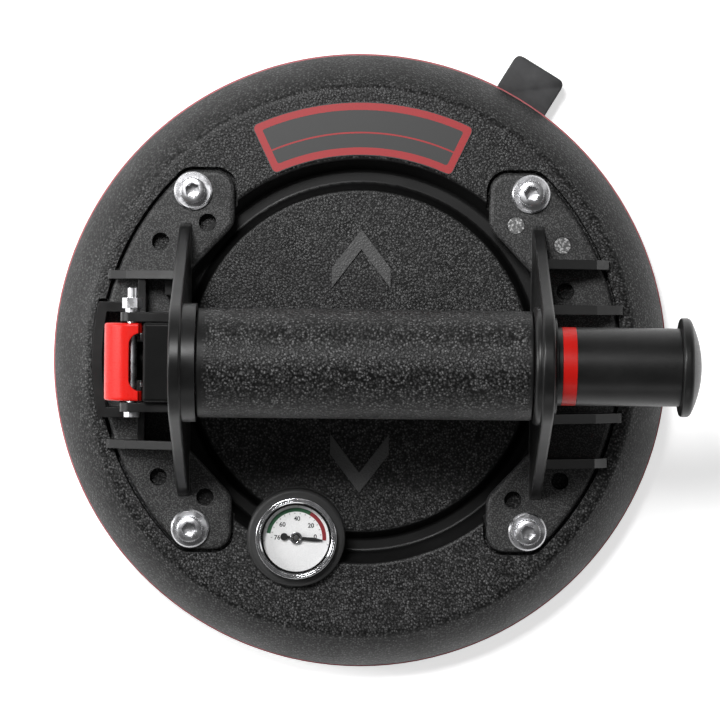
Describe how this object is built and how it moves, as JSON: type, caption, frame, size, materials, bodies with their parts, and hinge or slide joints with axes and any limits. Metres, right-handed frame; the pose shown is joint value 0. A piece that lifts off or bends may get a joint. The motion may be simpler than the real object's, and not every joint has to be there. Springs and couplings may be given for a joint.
{
  "type": "vacuum suction cup",
  "caption": "Hand-pumped vacuum suction cup: rubber pad under a moulded disc, pump handle with plunger, vacuum gauge and a release lever.",
  "frame": {"origin": "centre of the lip's sealing plane, where the cup meets the surface that it holds", "axes": "+Z out of the held surface along the cup's axis, +X along the handle towards the pump plunger, +Y towards the label"},
  "size_m": [0.2042, 0.2, 0.0952],
  "materials": {
    "moulded_black": "fine-grained moulded nylon",
    "smooth_black": "smooth moulded nylon",
    "black_rubber": "matt",
    "grip_rubber": "fine-grained",
    "red_ring": "dusky red",
    "red_plastic": "glossy",
    "grey_plastic": "light grey",
    "label_film": "printed film with a red border",
    "steel": "zinc plated",
    "alloy": "drawn tube",
    "brass": "turned",
    "filter_felt": "felt disc",
    "chrome_trim": "polished",
    "clear_lens": "clear",
    "dial_white": "printed",
    "needle_black": "matt black"
  },
  "bodies": {
    "housing": {"base_plate": "moulded_black", "rubber_cup": "black_rubber", "edge_ring": "red_ring", "pad_clamp_disc": "steel", "pad_screw": "steel", "label_plate": "label_film", "valve_bracket": "smooth_black", "pump_bracket": "smooth_black", "bracket_screws": "steel", "bracket_washers": "steel", "bracket_inserts": "brass", "locating_pins": "grey_plastic", "grip_sleeve": "grip_rubber", "pump_cylinder": "alloy", "cylinder_head": "moulded_black", "head_seal": "black_rubber", "check_spring": "steel", "check_cage": "grey_plastic", "pump_spring": "steel", "guide_bush": "smooth_black", "valve_block": "smooth_black", "block_screws": "steel", "port_grommet": "black_rubber", "port_filter": "filter_felt", "spigot_seal": "black_rubber", "valve_seat": "smooth_black", "valve_spring": "steel", "lever_pivot_bolt": "steel", "lever_pivot_nut": "steel", "gauge_case": "chrome_trim", "gauge_bezel": "chrome_trim", "gauge_lens": "clear_lens", "gauge_dial": "dial_white", "movement_frame": "brass", "bourdon_tube": "brass", "gauge_socket": "brass", "gauge_gasket": "black_rubber"},
    "plunger": {"plunger_tube": "smooth_black", "plunger_cap": "smooth_black", "indicator_ring": "red_plastic", "piston": "moulded_black", "piston_seal": "black_rubber", "piston_screw": "steel"},
    "lever": {"release_lever": "red_plastic"},
    "valve": {"valve_stem": "steel", "valve_seal": "black_rubber"},
    "check": {"check_disc": "black_rubber"},
    "sector": {"sector_gear": "brass"},
    "link": {"gauge_link": "brass"},
    "needle": {"gauge_needle": "needle_black", "needle_arbor": "brass"}
  },
  "joints": [
    {"name": "plunger_slide", "type": "slide", "parent": "housing", "child": "plunger", "axis": [-1, 0, 0], "range_m": [0, 0.034], "stiffness_N_per_m": 600, "springref_m": -0.015, "deforming": ["pump_spring"]},
    {"name": "lever_hinge", "type": "hinge", "parent": "housing", "child": "lever", "pos_m": [-0.0702, 0, 0.076], "axis": [0, -1, 0], "range_deg": [0, 12], "stiffness_Nm_per_rad": 0.3, "springref_deg": -11.46},
    {"name": "valve_slide", "type": "slide", "parent": "housing", "child": "valve", "axis": [1, 0, 0], "range_m": [0, 0.0035], "deforming": ["valve_spring"]},
    {"name": "check_lift", "type": "slide", "parent": "housing", "child": "check", "axis": [1, 0, 0], "range_m": [0, 0.001], "stiffness_N_per_m": 50, "springref_m": -0.001, "deforming": ["check_spring"]},
    {"name": "sector_hinge", "type": "hinge", "parent": "housing", "child": "sector", "pos_m": [-0.02, -0.0495, 0.0252], "axis": [0, 0, 1], "range_deg": [-35, 0]},
    {"name": "link_hinge", "type": "hinge", "parent": "sector", "child": "link", "pos_m": [-0.0233, -0.0495, 0.0252], "axis": [0, 0, 1], "range_deg": [0, 35]},
    {"name": "needle_hinge", "type": "hinge", "parent": "housing", "child": "needle", "pos_m": [-0.02, -0.0567, 0.0252], "axis": [0, 0, 1], "range_deg": [0, 175]}
  ],
  "couplings": [
    {"joint": "valve_slide", "follows": "lever_hinge", "m_per_rad": 0.016525},
    {"joint": "needle_hinge", "follows": "sector_hinge", "ratio": -5},
    {"joint": "link_hinge", "follows": "sector_hinge", "ratio": -1}
  ]
}
